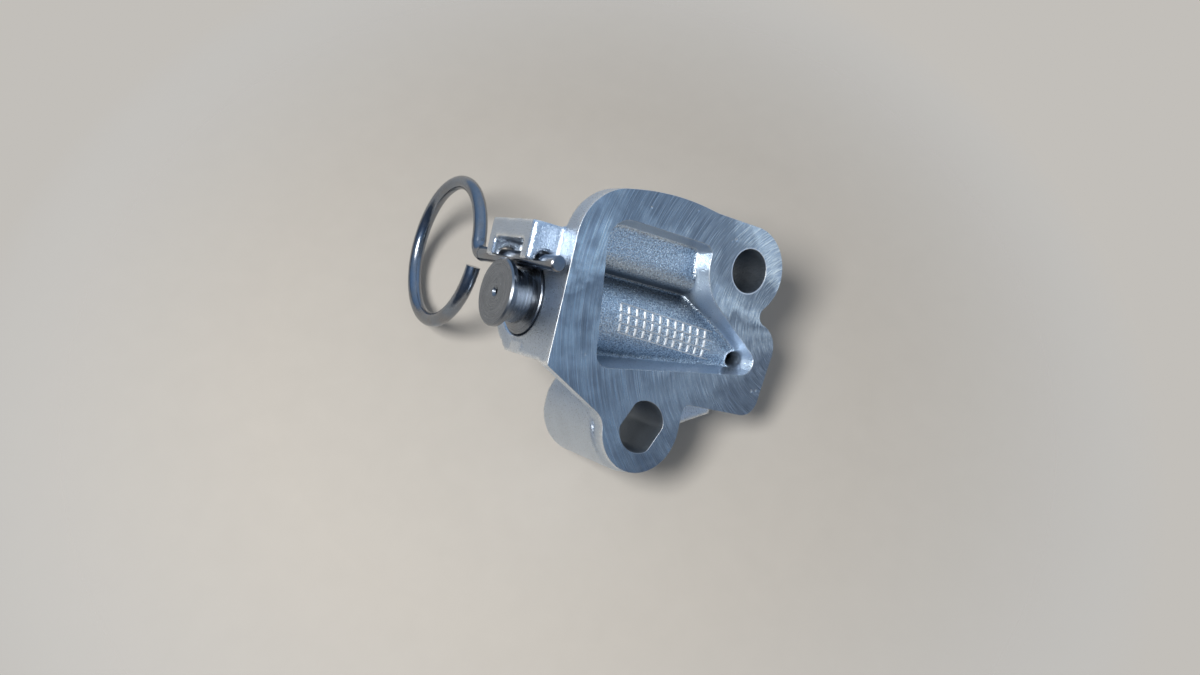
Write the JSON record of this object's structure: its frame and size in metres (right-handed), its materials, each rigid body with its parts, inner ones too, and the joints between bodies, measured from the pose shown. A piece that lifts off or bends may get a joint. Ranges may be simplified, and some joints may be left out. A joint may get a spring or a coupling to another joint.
{
  "type": "timing chain tensioner",
  "caption": "Die-cast timing chain tensioner: flanged housing with a cored pocket, hydraulic plunger in a closed barrel, and a ring pin through a lug that locks the plunger in.",
  "frame": {"origin": "centre of the round bolt hole, on the machined mounting face", "axes": "+X the way the plunger comes out of the barrel, +Y in the mounting face towards the slotted bolt hole's side, +Z out of the mounting face"},
  "size_m": [0.0459, 0.0419, 0.0506],
  "materials": {
    "cast_aluminium": "as cast and grainy, milled on the mounting face",
    "turned_steel": "turned, case-hardened grey",
    "valve_steel": "plain",
    "spring_steel": "drawn wire",
    "bearing_steel": "polished",
    "pin_wire": "dark drawn wire with a blue sheen"
  },
  "bodies": {
    "base": {"housing": "cast_aluminium", "plunger_spring": "spring_steel", "check_seat": "valve_steel", "check_spring": "spring_steel", "check_cage": "valve_steel"},
    "plunger": {"plunger": "turned_steel", "vent_disc": "valve_steel"},
    "ball": {"check_ball": "bearing_steel"},
    "pin": {"lock_pin": "pin_wire"}
  },
  "joints": [
    {"name": "pin_pull", "type": "slide", "parent": "base", "child": "pin", "axis": [0, 0, -1], "range_m": [0, 0.125]},
    {"name": "plunger_slide", "type": "slide", "parent": "base", "child": "plunger", "axis": [1, 0, 0], "range_m": [0, 0.005], "deforming": ["plunger_spring"]},
    {"name": "ball_lift", "type": "slide", "parent": "base", "child": "ball", "axis": [1, 0, 0], "range_m": [0, 0.0006], "stiffness_N_per_m": 60, "springref_m": -0.0008, "deforming": ["check_spring"]}
  ],
  "couplings": [
    {"joint": "plunger_slide", "follows": "pin_pull", "ratio": 0.04}
  ]
}
